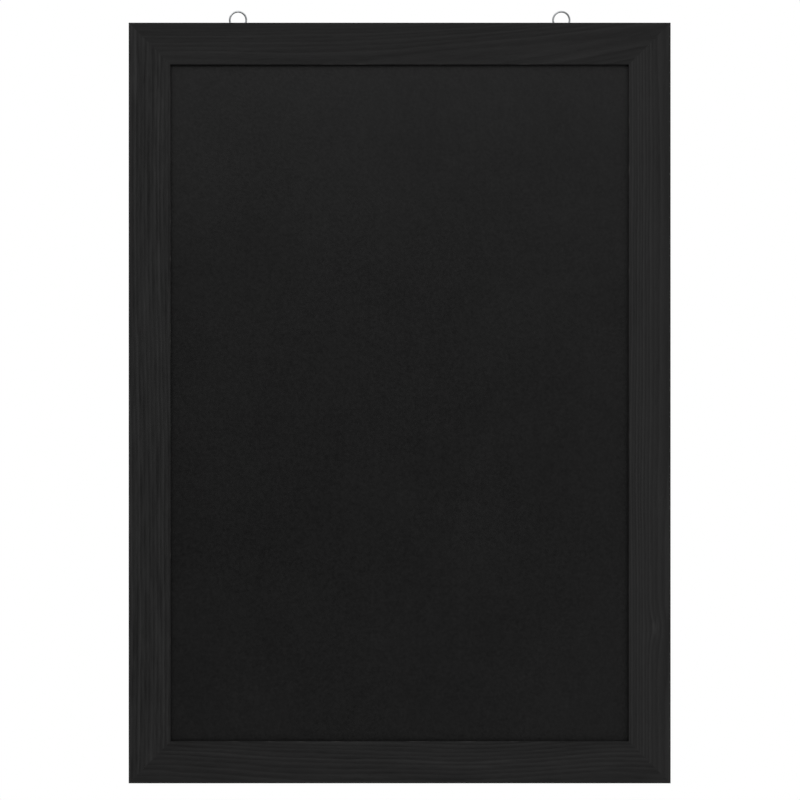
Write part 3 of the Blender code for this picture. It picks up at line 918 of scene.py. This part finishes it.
def strap(at):
    """The folded strip."""
    half = at["width"] / 2
    inner, steel_half = at["inner_y"], STRAP_STEEL / 2
    outer_leaf = inner + STRAP_STEEL + LEAF_GAP
    bend_y = outer_leaf + BEND_RADIUS
    drop = math.sqrt((at["radius"] + BEND_RADIUS) ** 2 - (bend_y - at["eye_y"]) ** 2)
    bend_z = at["axis_z"] - drop
    over = math.pi - math.atan2(-drop, bend_y - at["eye_y"])
    shape = bmesh.new()
    front, back = inner - steel_half, inner + steel_half
    corners = [(-half, front), (half, front), (half, back), (-half, back)]
    verts = [shape.verts.new((at["x"] + x, y, at["end_z"])) for x, y in corners]
    edges = [shape.edges.new((verts[i - 1], verts[i])) for i in range(len(verts))]
    leaf = push(shape, {"geom": verts + edges}, (0, 0, at["axis_z"] - at["end_z"]))
    eye = turn_round(shape, leaf, (0, at["eye_y"], at["axis_z"]), (1, 0, 0), -over, EYE_SEGMENTS)
    fold = turn_round(shape, eye, (0, bend_y, bend_z), (1, 0, 0), over - math.pi, FOLD_SEGMENTS)
    push(shape, fold, (0, 0, at["end_z"] - bend_z))
    bmesh.ops.remove_doubles(shape, verts=shape.verts, dist=WELD)
    bmesh.ops.holes_fill(shape, edges=[e for e in shape.edges if e.is_boundary], sides=0)
    bmesh.ops.recalc_face_normals(shape, faces=shape.faces)
    ends = [
        e for e in shape.edges
        if all(abs(v.co.z - at["end_z"]) < TOUCH for v in e.verts)
        and abs(e.verts[0].co.x - e.verts[1].co.x) < TOUCH
    ]
    round_off(shape, ends, CORNER_RADIUS, CORNER_SEGMENTS)
    bevel_sharp(shape, STRAP_BREAK)
    return shape


report("strap", strap(strap_measures("left")))

# %% [markdown]
# The ring is a round wire bent to a circle, so it is a circle spun round a circle. Its ends
# meet inside the eye, out of sight.

# %% Ring
WIRE_SEGMENTS = 28
RING_STEPS = 120


def lathe(shape, steps):
    """Spin an outline once round the Y axis and weld the seam."""
    outline = shape.verts[:] + shape.edges[:]
    bmesh.ops.spin(
        shape, geom=outline, cent=(0, 0, 0), axis=(0, 1, 0), angle=math.tau, steps=steps, use_merge=True
    )
    bmesh.ops.remove_doubles(shape, verts=shape.verts, dist=WELD)
    bmesh.ops.recalc_face_normals(shape, faces=shape.faces)


def wire_ring(side):
    """The ring of one side, standing up in its eye."""
    low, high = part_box(f"hanger_{side}_ring")
    wire = (high.y - low.y) / 2
    radius = (high.x - low.x) / 2 - wire
    centre = (low + high) / 2
    shape = bmesh.new()
    bmesh.ops.create_circle(shape, segments=WIRE_SEGMENTS, radius=wire)
    bmesh.ops.translate(shape, vec=(radius, 0, 0), verts=shape.verts)
    lathe(shape, RING_STEPS)
    bmesh.ops.translate(shape, vec=centre, verts=shape.verts)
    return shape


report("ring", wire_ring("left"))

# %% [markdown]
# A screw is a lathe shape: half its outline is spun round its axis. The thread is then wound on
# by moving each ring of vertices out and in along a helix. The drive is a tapered cross cut
# out of the head.

# %% Screw
THREAD_PITCH = 0.0011
THREAD_DEPTH = 0.00042
THREAD_STEEPNESS = 3.2
THREAD_END_PITCHES = 2
SHANK_RADIUS = 0.0015
SCREW_TIP = 0.003
TIP_SHARE = 0.12
HEAD_HEIGHT = 0.0021
HEAD_RIM = 0.0001
SHOULDER_SHARE = 0.45
HEAD_STEPS = 8
SCREW_SEGMENTS = 32
ROWS_PER_PITCH = 8
RECESS_SPAN = 0.0030
RECESS_WIDTH = 0.0008
RECESS_DEPTH = 0.0012
RECESS_PROUD = 0.0002
# How long and how wide the cross is at its bottom, next to its top.
RECESS_END_SHARES = (0.45, 0.7)


def screw_outline(tip_y, seat_y, head_radius):
    """Half the outline of a pan-head screw, from its tip to the top of its head."""
    points = [(0.0, tip_y)]
    rows = int((seat_y - tip_y) / (THREAD_PITCH / ROWS_PER_PITCH))
    for row in range(1, rows):
        y = tip_y + (seat_y - tip_y) * row / rows
        taper = math.sin(min(1.0, (y - tip_y) / SCREW_TIP) * math.pi / 2)
        points.append((SHANK_RADIUS * (TIP_SHARE + (1 - TIP_SHARE) * taper), y))
    points.append((SHANK_RADIUS, seat_y))
    points.append((head_radius - HEAD_RIM, seat_y))
    points.append((head_radius, seat_y + HEAD_RIM))
    shoulder = seat_y + HEAD_HEIGHT * SHOULDER_SHARE
    dome = 1 - SHOULDER_SHARE
    for step in range(HEAD_STEPS + 1):
        angle = step / HEAD_STEPS * math.pi / 2
        wide = head_radius * (SHOULDER_SHARE + dome * math.cos(angle))
        points.append((wide, shoulder + HEAD_HEIGHT * dome * math.sin(angle)))
    points.append((0.0, seat_y + HEAD_HEIGHT))
    return points


def wind_thread(shape, seat_y):
    """Draw the shank's rings of vertices in between the turns of a helix."""
    thread_end = seat_y - THREAD_END_PITCHES * THREAD_PITCH
    for vert in shape.verts:
        away = math.hypot(vert.co.x, vert.co.z)
        if away > TOUCH and vert.co.y < thread_end:
            turn = math.atan2(vert.co.z, vert.co.x) / math.tau
            phase = (vert.co.y / THREAD_PITCH + turn) % 1.0
            crest = max(0.0, 1 - THREAD_STEEPNESS * abs(phase - 0.5))
            runout = min(1.0, (thread_end - vert.co.y) / THREAD_PITCH)
            depth = THREAD_DEPTH * (1 - crest) * runout * min(1.0, away / SHANK_RADIUS)
            vert.co.x *= (away - depth) / away
            vert.co.z *= (away - depth) / away


def screw(centre, tip_y, seat_y, head_radius):
    """A wood screw along Y with its head at the back."""
    shape = bmesh.new()
    verts = [shape.verts.new((r, y, 0)) for r, y in screw_outline(tip_y, seat_y, head_radius)]
    for pair in zip(verts, verts[1:]):
        shape.edges.new(pair)
    lathe(shape, SCREW_SEGMENTS)
    wind_thread(shape, seat_y)
    bmesh.ops.translate(shape, vec=centre, verts=shape.verts)
    return shape


def recess_cutter(name, centre, top_y, turn):
    """One arm of the cross in a screw's head, narrower at its bottom."""
    shape = bmesh.new()
    bmesh.ops.create_cube(shape, size=1.0)
    for vert in shape.verts:
        deep = vert.co.y < 0
        span_share, width_share = RECESS_END_SHARES if deep else (1.0, 1.0)
        vert.co.x *= RECESS_SPAN * span_share
        vert.co.z *= RECESS_WIDTH * width_share
        vert.co.y = -RECESS_DEPTH if deep else RECESS_PROUD
    return make_piece(name, shape, [ZINC_PLATE], turn, (centre.x, top_y, centre.z))


print("screw pitch mm:", THREAD_PITCH * 1000)

# %% [markdown]
# The pieces of each hanger go together as in the factory: ring in the eye, strap on the rail, screw
# through both leaves. The screw bites into the rail, so the rail gets its bore here as well.

# %% Assemble the hangers
BORE_ROOM = 0.0001
BORE_RADIUS = SHANK_RADIUS + BORE_ROOM
BORE_SEGMENTS = 32
DRIVE_TURNS = {"left": 24, "right": -31}


def rod(tip_y, top_y):
    """A plain round cutter along Y, a little wider than the screw's shank."""
    shape = bmesh.new()
    bmesh.ops.create_cone(
        shape, cap_ends=True, segments=BORE_SEGMENTS, radius1=BORE_RADIUS, radius2=BORE_RADIUS,
        depth=top_y - tip_y,
    )
    bmesh.ops.rotate(shape, cent=(0, 0, 0), matrix=Matrix.Rotation(math.pi / 2, 3, "X"), verts=shape.verts)
    bmesh.ops.translate(shape, vec=(0, (top_y + tip_y) / 2, 0), verts=shape.verts)
    return shape


for side, drive_turn in DRIVE_TURNS.items():
    at = strap_measures(side)
    ring = make_piece(f"wire_ring_{side}", wire_ring(side), [ZINC_PLATE])
    stand_for(ring, f"hanger_{side}_ring", f"ring_{side}")

    low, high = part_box(f"hanger_{side}_screw")
    centre = Vector(((low.x + high.x) / 2, 0, (low.z + high.z) / 2))
    seat_y = at["inner_y"] + 1.5 * STRAP_STEEL + LEAF_GAP + SEAT_GAP
    shape = screw(centre, low.y, seat_y, (high.x - low.x) / 2)
    body = make_piece(f"strap_screw_{side}", shape, [ZINC_PLATE])
    arms = [math.radians(drive_turn), math.radians(drive_turn + 90)]
    top_y = seat_y + HEAD_HEIGHT
    carve(body, [recess_cutter(f"arm_{i}", centre, top_y, arm) for i, arm in enumerate(arms)])
    stand_for(body, f"hanger_{side}_screw")

    plate = make_piece(f"folded_strap_{side}", strap(at), [ZINC_PLATE])
    hole = rod(BACK - SLIT_PROUD, seat_y + SLIT_PROUD)
    carve(plate, [make_piece("strap_hole", hole, [ZINC_PLATE], place=centre)])
    stand_for(plate, f"hanger_{side}_strap")

    add_slit("top_rail", rod(low.y - BORE_ROOM, BACK + SLIT_PROUD), 0.0, centre)
    print(side, "hanger:", len(plate.data.polygons), "strap faces,", len(body.data.polygons), "screw faces")

# %% [markdown]
# Now every cutter is in place, and the four mouldings get their slits and bores. The wear along
# the arrises is measured on the finished mesh and stored with it. The material reads it from there.

# %% Cut the slits and store the wear
def store_wear(mesh, member):
    """Store each vertex's share of wear, which the pine finish reads as arris."""
    layer = mesh.attributes.new("arris", "FLOAT", "POINT")
    back = Matrix.Rotation(-member["turn"], 3, "Y")
    for vert in mesh.vertices:
        own = back @ (vert.co - Vector(member["place"]))
        layer.data[vert.index].value = wear_share(own.yz)


for name, member in MEMBERS.items():
    piece = member["piece"]
    carve(piece, slits[name])
    store_wear(piece.data, member)
    stand_for(piece, f"frame_{name}")
    print(name, len(piece.data.polygons), "faces, materials", len(piece.data.materials))

# %% [markdown]
# ## The writing panel
# The panel is a sheet of hardboard with a black blackboard coating rolled on one side. The front
# shows the coating: matt, with a fine stipple and faint clouds where it went on thicker. A short
# roller's stipple is about a millimetre across, and it is drawn three times as coarse here, or it
# would be lost from three metres away.

# %% Coating
# The size of each pattern in millimetres, its detail and its roughness.
STIPPLE = (3.4, 1.0, 0.6)
GRIT = (0.8, 1.0)
MOTTLE = (14, 2.0, 0.7)
LAPS = (120, 3.0, 0.6)
# How much each pattern adds to the tone, from a level that keeps the mean near the middle.
COAT_LEVEL = -0.49
STIPPLE_WEIGHT = 1.25
MOTTLE_WEIGHT = 0.5
LAPS_WEIGHT = 0.15
LAPS_RANGE = (0.3, 0.7)
COAT_GLOSS = (0.40, 0.43)
GRIT_DEPTH_SHARE = 0.15
COAT_RELIEF = 0.00006


def coating():
    """Blackboard coating: acrylic with a fine grit that chalk can bite on, rolled on hardboard."""
    fixed = {"IOR": 1.5, "Specular IOR Level": 0.25}
    finish, tree, shader = new_finish("rolled blackboard coating", fixed)
    place = add_node(tree, "TexCoord", output="Object")
    stipple, grit, mottle, laps = (
        add_node(tree, "TexNoise", {"Vector": place} | speckle(*kind))
        for kind in (STIPPLE, GRIT, MOTTLE, LAPS)
    )
    layers = [(stipple, STIPPLE_WEIGHT), (mottle, MOTTLE_WEIGHT), (laps, LAPS_WEIGHT)]
    shades = {0: add_up(tree, COAT_LEVEL, layers), 6: linear("#050505"), 7: linear("#151515")}
    colour = add_node(tree, "Mix", shades, 2, data_type="RGBA")
    inputs = {"Value": laps} | span(LAPS_RANGE, COAT_GLOSS)
    gloss = add_node(tree, "MapRange", inputs, interpolation_type="SMOOTHSTEP")
    height = add_up(tree, stipple, [(grit, GRIT_DEPTH_SHARE)])
    connect(tree, shader, colour, gloss, height, COAT_RELIEF)
    return finish


print("stipple", STIPPLE[0], "mm across")

# %% [markdown]
# The back is bare hardboard: brown pressed fibre with flecks of bark, and the print of the wire
# screen that it lay on in the press. Two crossed waves draw that print, about twice as coarse as the
# real 1.3 mm, or it would not show.

# %% Hardboard
SCREEN_PITCH_MM = 3.0
PRESSED_FIBRE = (1.6, 4.0, 0.7)
BLOTCH = (45, 5.0, 0.65)
BARK = (5.0, 3.0, 0.7)
BOARD_LEVEL = -0.55
FIBRE_WEIGHT = 1.7
BLOTCH_WEIGHT = 0.5
WEAVE_WEIGHT = 0.12
BARK_RANGE = (0.62, 0.70)
BARK_SHADE = -0.4
BOARD_GLOSS = (0.72, 0.88)
WEAVE_DEPTH_SHARE = 0.5
BOARD_RELIEF = 0.00012


def hardboard():
    """Pressed wood fibre with flecks of bark and a screen print."""
    finish, tree, shader = new_finish("bare hardboard", {"Specular IOR Level": 0.3})
    place = add_node(tree, "TexCoord", output="Object")
    along = math.tau * 1000 / SCREEN_PITCH_MM
    turns = add_node(tree, "VectorMath", {0: place, 1: (along, 0, along)}, operation="MULTIPLY")
    parts = add_node(tree, "SeparateXYZ", {"Vector": turns}).node.outputs
    wires = [add_node(tree, "Math", {0: parts[axis]}, operation="SINE") for axis in ("X", "Z")]
    weave = add_node(tree, "Math", {0: wires[0], 1: wires[1]}, operation="MULTIPLY")
    fibres, blotch, bark = (
        add_node(tree, "TexNoise", {"Vector": place} | speckle(*kind))
        for kind in (PRESSED_FIBRE, BLOTCH, BARK)
    )
    inputs = {"Value": bark} | span(BARK_RANGE, (0.0, BARK_SHADE))
    flecks = add_node(tree, "MapRange", inputs, interpolation_type="SMOOTHSTEP")
    layers = [(fibres, FIBRE_WEIGHT), (blotch, BLOTCH_WEIGHT), (weave, WEAVE_WEIGHT), (flecks, 1.0)]
    tone = add_up(tree, BOARD_LEVEL, layers)
    shades = {0: tone, 6: linear("#5f4028"), 7: linear("#8f6c47")}
    colour = add_node(tree, "Mix", shades, 2, data_type="RGBA")
    gloss = add_node(tree, "MapRange", {"Value": tone} | span((0.0, 1.0), BOARD_GLOSS))
    height = add_up(tree, fibres, [(weave, WEAVE_DEPTH_SHARE)])
    connect(tree, shader, colour, gloss, height, BOARD_RELIEF)
    return finish


COATING = coating()
HARDBOARD = hardboard()
print("panel finishes:", COATING.name, "and", HARDBOARD.name)

# %% [markdown]
# The sheet is cut a little smaller than the rabbet and lies against the lip. Its front edges are
# eased, and hardboard is never quite flat, so it bows by a few tenths of a millimetre between the
# points. The front and the eased edges get the coating, which wraps a little round the sides.

# %% Panel
LIP_GAP = 0.00002
PANEL_EASE = 0.0004
PANEL_BOW = 0.00025
PANEL_CUTS = 17
PANEL_HOLD = 0.002
PANEL_SHARP = math.radians(60)

low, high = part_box("writing_panel")
middle, half = (low + high) / 2, (high - low) / 2
front_y = FRONT + LIP + LIP_GAP
shape = bmesh.new()
bmesh.ops.create_grid(shape, x_segments=PANEL_CUTS, y_segments=PANEL_CUTS, size=1.0)
bmesh.ops.rotate(shape, cent=(0, 0, 0), matrix=Matrix.Rotation(math.pi / 2, 3, "X"), verts=shape.verts)
bmesh.ops.scale(shape, vec=(half.x, 1, half.z), verts=shape.verts)
bmesh.ops.inset_region(
    shape, faces=shape.faces[:], thickness=PANEL_HOLD, use_boundary=True, use_even_offset=True
)
thicken(shape, shape.faces[:], (0, high.y - front_y, 0))
bmesh.ops.translate(shape, vec=(middle.x, front_y, middle.z), verts=shape.verts)
bevel_sharp(shape, PANEL_EASE, segments=3, least=PANEL_SHARP)
for face in shape.faces:
    face.material_index = 0 if face.calc_center_median().y < front_y + 2 * PANEL_EASE else 1
for vert in shape.verts:
    across = max(0.0, 1 - ((vert.co.x - middle.x) / half.x) ** 2)
    up = max(0.0, 1 - ((vert.co.z - middle.z) / half.z) ** 2)
    vert.co.y += PANEL_BOW * across * up
panel = make_piece("panel_sheet", shape, [COATING, HARDBOARD])
stand_for(panel, "writing_panel")
print("panel faces:", len(panel.data.polygons))
